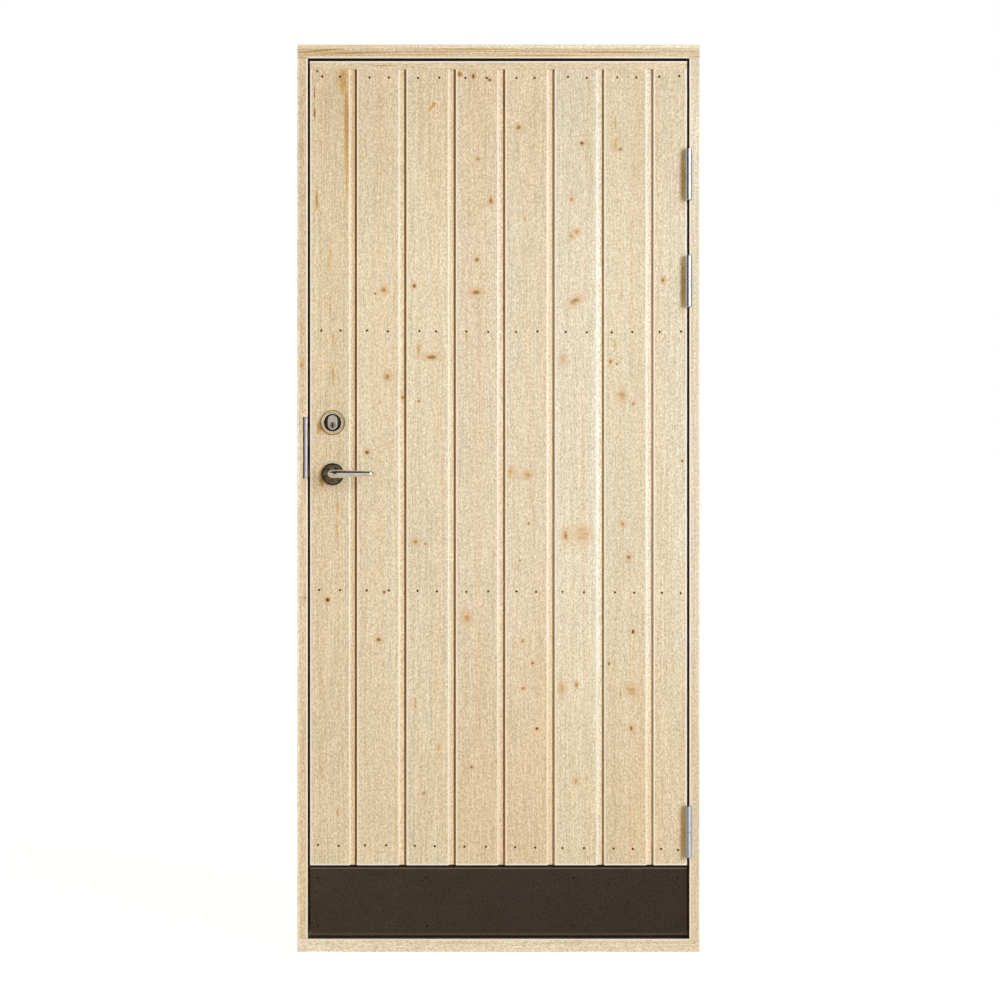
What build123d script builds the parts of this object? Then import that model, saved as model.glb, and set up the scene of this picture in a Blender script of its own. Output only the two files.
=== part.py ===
from build123d import *
from math import ceil
import os

os.makedirs("parts", exist_ok=True)

# Door set: x across the opening, y from the weather side to the room side, z up.
# The origin is the middle of the threshold's underside. Lengths are in millimetres.
frame_width = 882
frame_height = 1990
frame_depth = 92
jamb_lip = 22.5
head_lip = 30
sill_front = 29
sill_back = 30.5
stop_rise = 18
sill_stop = 48
arris = 1.2

front_y = -frame_depth / 2
back_y = frame_depth / 2
jamb_x = frame_width / 2 - jamb_lip
head_z = frame_height - head_lip
head_stop = head_z - stop_rise

# Leaf
leaf_gap = 5.1
head_gap = 6.1
foot_gap = 6.6
leaf_recess = 1
board_thickness = 16
stock_thickness = 34
seal_space = 5
edge_taper = 2.4
edge_x = jamb_x - leaf_gap
leaf_top = head_z - head_gap
board_front = front_y + leaf_recess
board_back = board_front + board_thickness
leaf_back = board_back + stock_thickness
leaf_bottom = sill_back + foot_gap
stop_y = leaf_back + seal_space
stop_depth = back_y - stop_y

# Kick plate, folded from sheet over the thick foot of the bottom rail
sheet = 1
plate_recess = 5
plate_height = 145.9
plate_gap = 7.3
shoulder_rise = 5
plate_return = 10
plate_face = board_front + plate_recess
foot_front = plate_face + sheet
plate_bend_z = leaf_bottom + plate_height
board_bottom = plate_bend_z + plate_gap

# Tongued and grooved boards
board_pitch = 108.4
first_board = 102.9
slot_width = 5
ledge_width = 7
bevel_width = 5.8
bevel_depth = 3.8
tongue_top = 9.5
tongue_thickness = 4
tongue_reach = 7
groove_depth = 8
tongue_clearance = 0.2
board_arris = 0.9
board_undercut = 4
strip_height = 18
boards_top = leaf_top - strip_height
board_count = ceil((2 * edge_x - first_board) / board_pitch) + 1

# Framing behind the boards
stock_width = 95
bottom_rail_width = 236.9
lower_rail_rise = 754.9
upper_rail_drop = 592.9
stock_chamfer = 2
bottom_rail_top = leaf_bottom + sheet + bottom_rail_width
mid_rail_heights = {
    "lower_mid_rail": leaf_bottom + lower_rail_rise,
    "upper_mid_rail": leaf_top - upper_rail_drop,
}

# Seals in kerfs round the stops
kerf_width = 3
kerf_depth = 6
kerf_clearance = 0.2
seal_width = 8
seal_height = 4.7
seal_inset = 5.5
seal_end_gap = 0.3

# Lift-off hinges
pin_offset_x = 2.5
pin_offset_y = 8
top_hinge_drop = 255.3
mid_hinge_drop = 489.4
low_hinge_rise = 234.3
hinge_x = jamb_x - pin_offset_x
hinge_y = front_y - pin_offset_y
hinge_centres = {
    "low": sill_back + low_hinge_rise,
    "mid": head_z - mid_hinge_drop,
    "top": head_z - top_hinge_drop,
}
barrel_radius = 7.25
knuckle_length = 57
collar_height = 1.2
collar_radius = 6.4
lift_clearance = 0.2
pin_radius = 4
pin_clearance = 0.05
pin_length = 42
flap_thickness = 3
flap_depth = 30
flap_height = 54
flap_corner = 5
mortise_clearance = 0.2

# Lock, cylinder and handles
backset = 50
handle_z = 1048
lock_centres = 113.3
case_thickness = 15
case_depth = 75
case_margin = 35
forend_thickness = 3
forend_width = 20
forend_margin = 61
spindle_x = -edge_x + backset
cylinder_z = handle_z + lock_centres
case_bottom = handle_z - case_margin
case_top = cylinder_z + case_margin
forend_bottom = handle_z - forend_margin
forend_top = cylinder_z + forend_margin
case_y = (board_back + leaf_back) / 2
ring_radius = 27
ring_lip_radius = 20.2
ring_bore_radius = 18.5
ring_height = 11
cylinder_height = 33
cylinder_width = 20.8
cylinder_clearance = 0.15
cylinder_face = 9.4
plug_radius = 7
plug_rise = 0.6
key_slot = (2.4, 9)
rosette_radius = 24.2
rosette_height = 9
neck_radius = 8.8
neck_clearance = 0.08
lever_reach = 50
elbow_radius = 15
tip_bend_radius = 13
tip_radius = 6.5
tip_rise = 0.4
tip_length = 4
lever_length = 97.8
square_side = 8
square_clearance = 0.05
socket_depth = 26
spindle_hole_radius = 10
cylinder_hole_radius = 18.3
turn_length = 34
turn_width = 11
turn_height = 15
turn_neck = 5

# Strike plate, an angle let into the rebate of the lock jamb
strike_below = 10
strike_above = 12.2
strike_thickness = 2
strike_flange = 6
strike_inset = 0.8
strike_gap = 3.2
strike_gap_depth = 6
strike_leg = 48
bolt_rise = 80
latch_height = 30
bolt_height = 34
keeper_width = 16
keeper_depth = 16
strike_x = -jamb_x - strike_inset
strike_end = strike_x - strike_flange
strike_bottom = handle_z - strike_below
strike_top = cylinder_z + strike_above
keepers = ((handle_z + 8, latch_height), (handle_z + bolt_rise, bolt_height))

# Fixing holes through the jambs, hidden by the closed leaf
fixing_end = 150
fixing_middle = 700
fixing_inset = 28
fixing_heights = (
    fixing_end,
    fixing_middle,
    frame_height - fixing_middle,
    frame_height - fixing_end,
)
fixing_y = front_y + fixing_inset
fixing_radius = 4.25
fixing_head_radius = 8
fixing_head_depth = 9


def save(piece, label):
    """Name a finished piece and write it to its own file."""
    piece.part.label = label
    export_step(piece.part, f"parts/{label}.step")


def lock_edge(y):
    """x of the leaf's lock-side edge, which leans inward toward the room."""
    return -edge_x + edge_taper * (y - board_front) / (leaf_back - board_front)


forend_x = lock_edge(case_y + forend_width / 2)


def cut_box(x_range, y_range, z_range):
    """Take a rectangular block out of the piece being made."""
    sizes = [high - low for low, high in (x_range, y_range, z_range)]
    middle = [(low + high) / 2 for low, high in (x_range, y_range, z_range)]
    with Locations(tuple(middle)):
        Box(*sizes, mode=Mode.SUBTRACT)


def cut_bore(x, z, radius, y_start, y_end):
    """Take out a round hole that runs through the leaf from y_start to y_end."""
    with BuildSketch(Plane.XZ.offset(-y_start)) as hole:
        with Locations((x, z)):
            Circle(radius)
    extrude(hole.sketch, amount=y_start - y_end, mode=Mode.SUBTRACT)


def nearest_edge(piece, direction, point):
    """The edge along one direction whose middle is nearest to a point."""
    return piece.edges().filter_by(direction).sort_by_distance(point)[0]


# Frame: head and threshold run the full width, the jambs stand between them
def make_threshold():
    with BuildPart() as threshold:
        with BuildSketch(Plane.YZ.offset(-frame_width / 2)):
            with BuildLine():
                Polyline(
                    (front_y, 0),
                    (back_y, 0),
                    (back_y, sill_stop),
                    (stop_y, sill_stop),
                    (stop_y, sill_back),
                    (front_y, sill_front),
                    close=True,
                )
            make_face()
        extrude(amount=frame_width)
        fillet(nearest_edge(threshold, Axis.X, (0, front_y, sill_front)), radius=arris)
        fillet(nearest_edge(threshold, Axis.X, (0, back_y, sill_stop)), radius=arris)
        cut_seal_kerf(sill_stop - seal_inset)
    return threshold


def make_head():
    with BuildPart() as head:
        with BuildSketch(Plane.YZ.offset(-frame_width / 2)):
            with BuildLine():
                Polyline(
                    (front_y, head_z),
                    (stop_y, head_z),
                    (stop_y, head_stop),
                    (back_y, head_stop),
                    (back_y, frame_height),
                    (front_y, frame_height),
                    close=True,
                )
            make_face()
        extrude(amount=frame_width)
        fillet(nearest_edge(head, Axis.X, (0, front_y, head_z)), radius=arris)
        fillet(nearest_edge(head, Axis.X, (0, front_y, frame_height)), radius=arris)
        fillet(nearest_edge(head, Axis.X, (0, back_y, head_stop)), radius=arris)
        cut_seal_kerf(head_stop + seal_inset)
    return head


def cut_seal_kerf(z):
    """Kerf along the stop of the head or the threshold."""
    half_run = jamb_x - stop_rise + seal_inset + seal_width / 2
    cut_box(
        (-half_run, half_run),
        (stop_y, stop_y + kerf_depth),
        (z - kerf_width / 2, z + kerf_width / 2),
    )


def make_jamb(side):
    """A rebated jamb; side is -1 for the lock side and 1 for the hinge side."""
    stop_x = jamb_x - stop_rise
    middle_z = frame_height / 2
    with BuildPart() as jamb:
        with BuildSketch(Plane.YZ.offset(side * jamb_x)):
            with BuildLine():
                Polyline(
                    (front_y, sill_front),
                    (stop_y, sill_back),
                    (stop_y, head_z),
                    (front_y, head_z),
                    close=True,
                )
            make_face()
        extrude(amount=side * jamb_lip)
        with BuildSketch(Plane.YZ.offset(side * stop_x)):
            with Locations(((stop_y + back_y) / 2, (sill_stop + head_stop) / 2)):
                Rectangle(stop_depth, head_stop - sill_stop)
        extrude(amount=side * (jamb_lip + stop_rise))
        for corner in (
            (side * jamb_x, front_y, middle_z),
            (side * frame_width / 2, front_y, middle_z),
            (side * stop_x, back_y, middle_z),
        ):
            fillet(nearest_edge(jamb, Axis.Z, corner), radius=arris)
        kerf_x = sorted(
            side * (stop_x + seal_inset + offset) for offset in (-kerf_width / 2, kerf_width / 2)
        )
        cut_box(kerf_x, (stop_y, stop_y + kerf_depth), (sill_stop, head_stop))
        for z in fixing_heights:
            with Locations(Plane((side * jamb_x, fixing_y, z), z_dir=(-side, 0, 0))):
                CounterBoreHole(fixing_radius, fixing_head_radius, fixing_head_depth, jamb_lip)
        if side > 0:
            cut_frame_mortises()
        else:
            cut_strike_recess()
    return jamb


def cut_frame_mortises():
    """Pockets for the hinge flaps in the hinge jamb's rebate."""
    for centre in hinge_centres.values():
        low = centre - knuckle_length
        with BuildSketch(Plane.YZ.offset(jamb_x)) as pocket:
            draw_flap(low, mortise_clearance)
        extrude(pocket.sketch, amount=flap_thickness, mode=Mode.SUBTRACT)


def draw_flap(low, clearance):
    """Outline of a hinge flap that reaches from the barrel's axis into the rebate."""
    end_y = front_y + flap_depth + clearance
    with Locations(((hinge_y + end_y) / 2, low + flap_height / 2)):
        flap = Rectangle(end_y - hinge_y, flap_height + 2 * clearance)
    fillet(flap.vertices().group_by(Axis.X)[-1], radius=flap_corner)


def cut_strike_recess():
    """Recess for the strike plate, with pockets behind its two keepers."""
    height = (strike_bottom - mortise_clearance, strike_top + mortise_clearance)
    leg_end = front_y + strike_leg + mortise_clearance
    cut_box((strike_end - strike_gap, strike_end), (front_y, front_y + strike_gap_depth), height)
    cut_box((strike_end, -jamb_x), (front_y, front_y + strike_thickness), height)
    cut_box((strike_x - strike_thickness, -jamb_x), (front_y, leg_end), height)
    for z, opening in keepers:
        cut_box(
            (strike_x - strike_thickness - keeper_depth, -jamb_x),
            (case_y - keeper_width / 2, case_y + keeper_width / 2),
            (z - opening / 2, z + opening / 2),
        )


def make_strike():
    with BuildPart() as strike:
        with BuildSketch(Plane.XY.offset(strike_bottom)):
            with BuildLine():
                Polyline(
                    (strike_end, front_y),
                    (strike_x, front_y),
                    (strike_x, front_y + strike_leg),
                    (strike_x - strike_thickness, front_y + strike_leg),
                    (strike_x - strike_thickness, front_y + strike_thickness),
                    (strike_end, front_y + strike_thickness),
                    close=True,
                )
            make_face()
        extrude(amount=strike_top - strike_bottom)
        bend = (strike_x, front_y, (strike_bottom + strike_top) / 2)
        fillet(nearest_edge(strike, Axis.Z, bend), radius=1.4)
        for z, height in keepers:
            with BuildSketch(Plane.YZ.offset(strike_x)):
                with Locations((case_y, z)):
                    RectangleRounded(keeper_width - 1, height - 1, 2)
            extrude(amount=-strike_thickness, mode=Mode.SUBTRACT)
    return strike


# Seals: a rounded bulb on the stop's face with a stem in the kerf
def make_seal(start, across, along, length, stem_inset):
    """A strip from start, whose bulb faces the leaf; along is its run."""
    place = Plane(start, x_dir=across, z_dir=along)
    with BuildPart() as seal:
        with BuildSketch(place):
            with Locations((0, -seal_height / 2)):
                bulb = Rectangle(seal_width, seal_height)
            fillet(bulb.vertices().group_by(Axis.Y)[0], radius=3)
        extrude(amount=length)
        with BuildSketch(place.offset(stem_inset)):
            with Locations((0, (kerf_depth - 0.5) / 2)):
                Rectangle(kerf_width - 2 * kerf_clearance, kerf_depth - 0.5)
        extrude(amount=length - 2 * stem_inset)
    return seal


def make_all_seals():
    across_half = jamb_x - stop_rise + seal_inset
    run_half = across_half + seal_width / 2
    low_z = sill_stop - seal_inset
    high_z = head_stop + seal_inset
    for label, z in (("seal_threshold", low_z), ("seal_head", high_z)):
        save(make_seal((-run_half, stop_y, z), (0, 0, -1), (1, 0, 0), 2 * run_half, 0), label)
    bottom = low_z + seal_width / 2 + seal_end_gap
    top = high_z - seal_width / 2 - seal_end_gap
    for label, side in (("seal_lock_side", -1), ("seal_hinge_side", 1)):
        start = (side * across_half, stop_y, bottom)
        save(make_seal(start, (1, 0, 0), (0, 0, 1), top - bottom, sill_stop - bottom), label)


# Boards: a bevel, ledge and slot at each joint, tongues hidden in the next board's groove
def joint_x(index):
    """x of the left face edge of board number index + 1."""
    return -edge_x + first_board + (index - 1) * board_pitch


def left_side_points(index):
    """Outline of a board's left side, from its front corner to its back corner."""
    if index == 1:
        return [(lock_edge(board_front), board_front), (lock_edge(board_back), board_back)]
    x = joint_x(index - 1)
    groove_top = board_front + tongue_top - tongue_clearance
    groove_floor = groove_top + tongue_thickness + 2 * tongue_clearance
    return [
        (x, board_front),
        (x, groove_top),
        (x + groove_depth, groove_top),
        (x + groove_depth, groove_floor),
        (x, groove_floor),
        (x, board_back),
    ]


def right_side_points(index):
    """Outline of a board's right side, from its back corner to its front corner."""
    if index == board_count:
        return [(edge_x, board_back), (edge_x, board_front)]
    x = joint_x(index)
    tongue_front = board_front + tongue_top
    tongue_back = tongue_front + tongue_thickness
    ledge_start = x - slot_width - ledge_width
    return [
        (x - tongue_clearance, board_back),
        (x - tongue_clearance, tongue_back),
        (x + tongue_reach, tongue_back),
        (x + tongue_reach, tongue_front),
        (x - slot_width, tongue_front),
        (x - slot_width, board_front + bevel_depth),
        (ledge_start, board_front + bevel_depth),
        (ledge_start - bevel_width, board_front),
    ]


def make_board(index):
    left = left_side_points(index)
    right = right_side_points(index)
    with BuildPart() as board:
        with BuildSketch(Plane.XY.offset(board_bottom)) as profile:
            with BuildLine():
                Polyline(*left, *right, close=True)
            make_face()
            fillet(profile.vertices().sort_by_distance(left[0])[0], radius=board_arris)
            if index == board_count:
                fillet(profile.vertices().sort_by_distance(right[-1])[0], radius=1.5)
        extrude(amount=boards_top - board_bottom)
        cut_drip(left[0][0] - 1, right[0][0] + groove_depth + 1)
        if index == 1:
            cut_bore(spindle_x, handle_z, spindle_hole_radius, board_front, board_back)
            cut_bore(spindle_x, cylinder_z, cylinder_hole_radius, board_front, board_back)
        if index == board_count:
            cut_leaf_mortises()
    return board


def cut_drip(x_start, x_end):
    """Slope the lower ends so that water drips from their front edge."""
    with BuildSketch(Plane.YZ.offset(x_start)) as wedge:
        with BuildLine():
            Polyline(
                (board_front, board_bottom),
                (board_back, board_bottom),
                (board_back, board_bottom + board_undercut),
                close=True,
            )
        make_face()
    extrude(wedge.sketch, amount=x_end - x_start, mode=Mode.SUBTRACT)


def cut_leaf_mortises():
    """Pockets for the hinge flaps in the leaf's hinge-side edge."""
    for centre in hinge_centres.values():
        low = centre + knuckle_length - flap_height
        with BuildSketch(Plane.YZ.offset(edge_x)) as pocket:
            draw_flap(low, mortise_clearance)
        extrude(pocket.sketch, amount=-flap_thickness, mode=Mode.SUBTRACT)


def make_top_strip():
    with BuildPart() as strip:
        with BuildSketch(Plane.XY.offset(boards_top)):
            with BuildLine():
                Polyline(
                    (lock_edge(board_front), board_front),
                    (edge_x, board_front),
                    (edge_x, board_back),
                    (lock_edge(board_back), board_back),
                    close=True,
                )
            make_face()
        extrude(amount=strip_height)
        fillet(strip.edges().filter_by(Axis.X).group_by(Axis.Y)[0], radius=board_arris)
    return strip


# Stiles and rails the boards are nailed to
def make_stile(side):
    inner = side * (edge_x - stock_width)
    outer_front = edge_x if side > 0 else lock_edge(board_back)
    outer_back = edge_x if side > 0 else lock_edge(leaf_back)
    with BuildPart() as stile:
        with BuildSketch(Plane.XY.offset(bottom_rail_top)):
            with BuildLine():
                Polyline(
                    (inner, board_back),
                    (outer_front, board_back),
                    (outer_back, leaf_back),
                    (inner, leaf_back),
                    close=True,
                )
            make_face()
        extrude(amount=leaf_top - bottom_rail_top)
        chamfer(stile.edges().filter_by(Axis.Z).group_by(Axis.Y)[-1], length=stock_chamfer)
        if side > 0:
            cut_leaf_mortises()
        else:
            cut_lock_mortise()
    return stile


def cut_lock_mortise():
    """Mortise for the lock case and its forend, and the cross holes."""
    clearance = 0.5
    behind = forend_x + forend_thickness
    half_case = case_thickness / 2 + clearance
    cut_box(
        (behind, behind + case_depth + clearance),
        (case_y - half_case, case_y + half_case),
        (case_bottom - clearance, case_top + clearance),
    )
    half_forend = forend_width / 2 + mortise_clearance
    cut_box(
        (-edge_x - 1, behind),
        (case_y - half_forend, case_y + half_forend),
        (forend_bottom - mortise_clearance, forend_top + mortise_clearance),
    )
    cut_bore(spindle_x, handle_z, spindle_hole_radius, board_back, leaf_back)
    cut_bore(spindle_x, cylinder_z, cylinder_hole_radius, board_back, leaf_back)


def make_rail(bottom, top):
    half_length = edge_x - stock_width
    with BuildPart() as rail:
        with BuildSketch(Plane.YZ.offset(-half_length)):
            with Locations(((board_back + leaf_back) / 2, (bottom + top) / 2)):
                Rectangle(stock_thickness, top - bottom)
        extrude(amount=2 * half_length)
        chamfer(rail.edges().filter_by(Axis.X).group_by(Axis.Y)[-1], length=stock_chamfer)
    return rail


def make_bottom_rail():
    """Full-width rail with a thick foot and a sloping shoulder under the board ends."""
    foot_bottom = leaf_bottom + sheet
    with BuildPart() as rail:
        with BuildSketch(Plane.YZ.offset(-edge_x)):
            with BuildLine():
                Polyline(
                    (foot_front, foot_bottom),
                    (leaf_back, foot_bottom),
                    (leaf_back, bottom_rail_top),
                    (board_back, bottom_rail_top),
                    (board_back, plate_bend_z + shoulder_rise),
                    (foot_front, plate_bend_z),
                    close=True,
                )
            make_face()
        extrude(amount=2 * edge_x)
        chamfer(rail.edges().filter_by(Axis.X).group_by(Axis.Y)[-1], length=stock_chamfer)
        cut_lock_edge(leaf_bottom, bottom_rail_top)
        cut_leaf_mortises()
    return rail


def cut_lock_edge(bottom, top):
    """Plane the leaning lock-side edge on a full-width piece."""
    with BuildSketch(Plane.XY.offset(bottom)) as wedge:
        with BuildLine():
            Polyline(
                (lock_edge(board_front), board_front),
                (lock_edge(leaf_back), leaf_back),
                (-edge_x - 1, leaf_back),
                (-edge_x - 1, board_front),
                close=True,
            )
        make_face()
    extrude(wedge.sketch, amount=top - bottom, mode=Mode.SUBTRACT)


def make_kick_plate():
    """Folded sheet: a return under the foot, the face, and a flange over the shoulder."""
    slope = shoulder_rise / (board_back - foot_front)
    lift = sheet * (1 + slope**2) ** 0.5
    flange_end = board_back - 0.5
    flange_z = plate_bend_z + slope * (flange_end - foot_front)
    with BuildPart() as plate:
        with BuildSketch(Plane.YZ.offset(-edge_x)):
            with BuildLine():
                Polyline(
                    (plate_face + plate_return, leaf_bottom),
                    (plate_face, leaf_bottom),
                    (plate_face, plate_bend_z - slope * sheet + lift),
                    (flange_end, flange_z + lift),
                    (flange_end, flange_z),
                    (foot_front, plate_bend_z),
                    (foot_front, leaf_bottom + sheet),
                    (plate_face + plate_return, leaf_bottom + sheet),
                    close=True,
                )
            make_face()
        extrude(amount=2 * edge_x)
        fillet(plate.edges().filter_by(Axis.X).group_by(Axis.Y)[0], radius=sheet)
        cut_lock_edge(leaf_bottom, board_bottom + shoulder_rise)
    return plate


# Hinges: the frame half carries the pin, the leaf half lifts off it
def make_frame_half(centre):
    low = centre - knuckle_length
    body_top = centre - collar_height - lift_clearance
    with BuildPart() as half:
        with BuildSketch(Plane.XY.offset(low)):
            with Locations((hinge_x, hinge_y)):
                Circle(barrel_radius)
        extrude(amount=body_top - low)
        fillet(half.edges().group_by(Axis.Z)[0], radius=2.4)
        chamfer(half.edges().group_by(Axis.Z)[-1], length=0.6)
        with BuildSketch(Plane.XY.offset(body_top)):
            with Locations((hinge_x, hinge_y)):
                Circle(collar_radius)
        extrude(amount=collar_height)
        with BuildSketch(Plane.YZ.offset(jamb_x)):
            draw_flap(low, 0)
        extrude(amount=flap_thickness)
        with BuildSketch(Plane.XY.offset(centre - lift_clearance)):
            with Locations((hinge_x, hinge_y)):
                Circle(pin_radius)
        extrude(amount=pin_length)
        chamfer(half.edges().group_by(Axis.Z)[-1], length=1)
    return half


def make_leaf_half(centre):
    high = centre + knuckle_length
    with BuildPart() as half:
        with BuildSketch(Plane.XY.offset(centre)):
            with Locations((hinge_x, hinge_y)):
                Circle(barrel_radius)
        extrude(amount=knuckle_length)
        fillet(half.edges().group_by(Axis.Z)[-1], radius=2.4)
        chamfer(half.edges().group_by(Axis.Z)[0], length=0.6)
        with BuildSketch(Plane.YZ.offset(edge_x)):
            draw_flap(high - flap_height, 0)
        extrude(amount=-flap_thickness)
        with BuildSketch(Plane.XY.offset(centre)):
            with Locations((hinge_x, hinge_y)):
                Circle(pin_radius + pin_clearance)
        extrude(amount=pin_length + 3, mode=Mode.SUBTRACT)
    return half


# Lock case with its forend; the two bolts are drawn back flush with the forend
def make_lock_case():
    behind = forend_x + forend_thickness
    with BuildPart() as case:
        with Locations((behind + case_depth / 2, case_y, (case_bottom + case_top) / 2)):
            Box(case_depth, case_thickness, case_top - case_bottom)
        with BuildSketch(Plane.YZ.offset(forend_x)):
            with Locations((case_y, (forend_bottom + forend_top) / 2)):
                RectangleRounded(forend_width, forend_top - forend_bottom, 3)
        extrude(amount=forend_thickness)
        for z, height in keepers:
            with BuildSketch(Plane.YZ.offset(forend_x)):
                with Locations((case_y, z)):
                    Rectangle(13, height - 8)
                    Rectangle(12, height - 9, mode=Mode.SUBTRACT)
            extrude(amount=2, mode=Mode.SUBTRACT)
        cut_bore(spindle_x, handle_z, 6, board_back, leaf_back)
    return case


def turned(outline, centre_z, face_y, side):
    """Solid turned about a cross axis from (radius, height) pairs; side -1 is outdoors."""
    place = Plane((spindle_x, face_y, centre_z), x_dir=(1, 0, 0), z_dir=(0, 0, 1))
    with BuildSketch(place) as section:
        with BuildLine():
            Polyline(*[(radius, side * height) for radius, height in outline], close=True)
        make_face()
    revolve(section.sketch, axis=Axis((spindle_x, face_y, centre_z), (0, 1, 0)))


def draw_oval(growth):
    """Outline of the oval lock cylinder, grown all round."""
    with Locations((spindle_x, cylinder_z)):
        SlotOverall(cylinder_height + 2 * growth, cylinder_width + 2 * growth, rotation=90)


def make_ring(side, face_y):
    """Conical cylinder ring with a recessed floor round the oval cylinder."""
    outline = [
        (0, 0),
        (ring_radius, 0),
        (ring_radius, 1.6),
        (ring_radius - 0.8, 2.6),
        (ring_lip_radius + 0.5, ring_height - 0.5),
        (ring_lip_radius - 0.2, ring_height),
        (ring_bore_radius, ring_height - 0.4),
        (ring_bore_radius, 4),
        (0, 4),
    ]
    with BuildPart() as ring:
        turned(outline, cylinder_z, face_y, side)
        with BuildSketch(Plane.XZ.offset(-face_y)):
            draw_oval(cylinder_clearance)
        extrude(amount=-side * ring_height, mode=Mode.SUBTRACT)
    return ring


def make_cylinder(side, face_y):
    """Oval cylinder from the case's face to just below the ring's lip."""
    case_face = case_y + side * case_thickness / 2
    length = (face_y - case_face) * side + cylinder_face
    plug_z = cylinder_z - (cylinder_height - cylinder_width) / 2
    with BuildPart() as cylinder:
        with BuildSketch(Plane.XZ.offset(-case_face)):
            draw_oval(0)
        extrude(amount=-side * length)
        end = cylinder.faces().filter_by(Axis.Y).sort_by(Axis.Y)[0 if side < 0 else -1]
        fillet(end.edges(), radius=0.8)
        end_y = face_y + side * cylinder_face
        with BuildSketch(Plane.XZ.offset(-end_y)):
            with Locations((spindle_x, plug_z)):
                Circle(plug_radius)
        extrude(amount=-side * plug_rise)
        if side < 0:
            with BuildSketch(Plane.XZ.offset(-end_y + plug_rise)):
                with Locations((spindle_x, plug_z)):
                    Rectangle(*key_slot)
            extrude(amount=-6, mode=Mode.SUBTRACT)
    return cylinder


def make_thumb_turn():
    """Thumb turn on the room side: a round foot and a flat wing."""
    end_y = leaf_back + cylinder_face + plug_rise
    plug_z = cylinder_z - (cylinder_height - cylinder_width) / 2
    with BuildPart() as turn:
        with BuildSketch(Plane.XZ.offset(-end_y)):
            with Locations((spindle_x, plug_z)):
                Circle(6)
        extrude(amount=-turn_neck)
        with BuildSketch(Plane.XZ.offset(-end_y - turn_neck)):
            with Locations((spindle_x, plug_z)):
                SlotOverall(turn_length, turn_width, rotation=90)
        extrude(amount=-turn_height, taper=4)
        fillet(turn.faces().sort_by(Axis.Y)[-1].edges(), radius=1.5)
    return turn


def make_rosette(side, face_y):
    radius = rosette_radius
    height = rosette_height
    outline = [
        (neck_radius + neck_clearance, 0),
        (radius, 0),
        (radius, height - 3.2),
        (radius - 0.9, height - 1.4),
        (radius - 2.6, height - 0.4),
        (radius - 5, height),
        (neck_radius + neck_clearance, height),
    ]
    with BuildPart() as rosette:
        turned(outline, handle_z, face_y, side)
    return rosette


def make_lever(side, face_y):
    """Round lever: neck, elbow, tapering grip, and an end turned back to the leaf."""
    grip_y = face_y + side * lever_reach
    grip_start = spindle_x + elbow_radius
    grip_end = spindle_x + lever_length - tip_radius - tip_bend_radius
    tip_y = grip_y - side * tip_bend_radius
    end_z = handle_z + tip_rise
    with BuildPart() as lever:
        with BuildLine(Plane.XY.offset(handle_z)):
            neck = Line((spindle_x, face_y + side), (spindle_x, grip_y - side * elbow_radius))
            TangentArc((neck @ 1), (grip_start, grip_y), tangent=neck % 1)
        with BuildSketch(Plane((spindle_x, face_y + side, handle_z), z_dir=(0, side, 0))):
            Circle(neck_radius)
        sweep()
        with BuildSketch(Plane((grip_start, grip_y, handle_z), z_dir=(1, 0, 0))):
            Circle(neck_radius)
        with BuildSketch(Plane((grip_end, grip_y, end_z), z_dir=(1, 0, 0))):
            Circle(tip_radius)
        loft()
        with BuildSketch(Plane((grip_end, grip_y, end_z), z_dir=(1, 0, 0))):
            Circle(tip_radius)
        turn_axis = Axis((grip_end, tip_y, end_z), (0, 0, -side))
        revolve(axis=turn_axis, revolution_arc=90)
        end_x = grip_end + tip_bend_radius
        with BuildSketch(Plane((end_x, tip_y, end_z), z_dir=(0, -side, 0))):
            Circle(tip_radius)
        extrude(amount=tip_length)
        end_point = (end_x, tip_y - side * tip_length, end_z)
        tip = lever.faces().filter_by(GeomType.PLANE).sort_by_distance(end_point)[0]
        fillet(tip.edges(), radius=2.5)
        with BuildSketch(Plane.XZ.offset(-face_y - side)):
            with Locations((spindle_x, handle_z)):
                Rectangle(square_side + 2 * square_clearance, square_side + 2 * square_clearance)
        extrude(amount=-side * socket_depth, mode=Mode.SUBTRACT)
    return lever


def make_spindle():
    start = board_front - 1 - socket_depth + 1
    end = leaf_back + 1 + socket_depth - 1
    with BuildPart() as spindle:
        with BuildSketch(Plane.XZ.offset(-start)):
            with Locations((spindle_x, handle_z)):
                Rectangle(square_side, square_side)
        extrude(amount=start - end)
    return spindle


save(make_threshold(), "threshold")
save(make_head(), "frame_head")
save(make_jamb(-1), "lock_jamb")
save(make_jamb(1), "hinge_jamb")
save(make_strike(), "strike_plate")
make_all_seals()

for number in range(1, board_count + 1):
    save(make_board(number), f"board_{number}")
save(make_top_strip(), "top_strip")
save(make_stile(-1), "lock_stile")
save(make_stile(1), "hinge_stile")
save(make_rail(leaf_top - stock_width, leaf_top), "top_rail")
for label, height in mid_rail_heights.items():
    save(make_rail(height - stock_width / 2, height + stock_width / 2), label)
save(make_bottom_rail(), "bottom_rail")
save(make_kick_plate(), "kick_plate")

for place, height in hinge_centres.items():
    save(make_frame_half(height), f"hinge_frame_half_{place}")
    save(make_leaf_half(height), f"hinge_leaf_half_{place}")

save(make_lock_case(), "lock_case")
for place, side, face in (("outer", -1, board_front), ("inner", 1, leaf_back)):
    save(make_ring(side, face), f"ring_{place}")
    save(make_cylinder(side, face), f"cylinder_{place}")
    save(make_rosette(side, face), f"rosette_{place}")
    save(make_lever(side, face), f"lever_{place}")
save(make_thumb_turn(), "thumb_turn")
save(make_spindle(), "lever_spindle")
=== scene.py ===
import math

import bmesh
import bpy
from mathutils import Matrix, Vector


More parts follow.
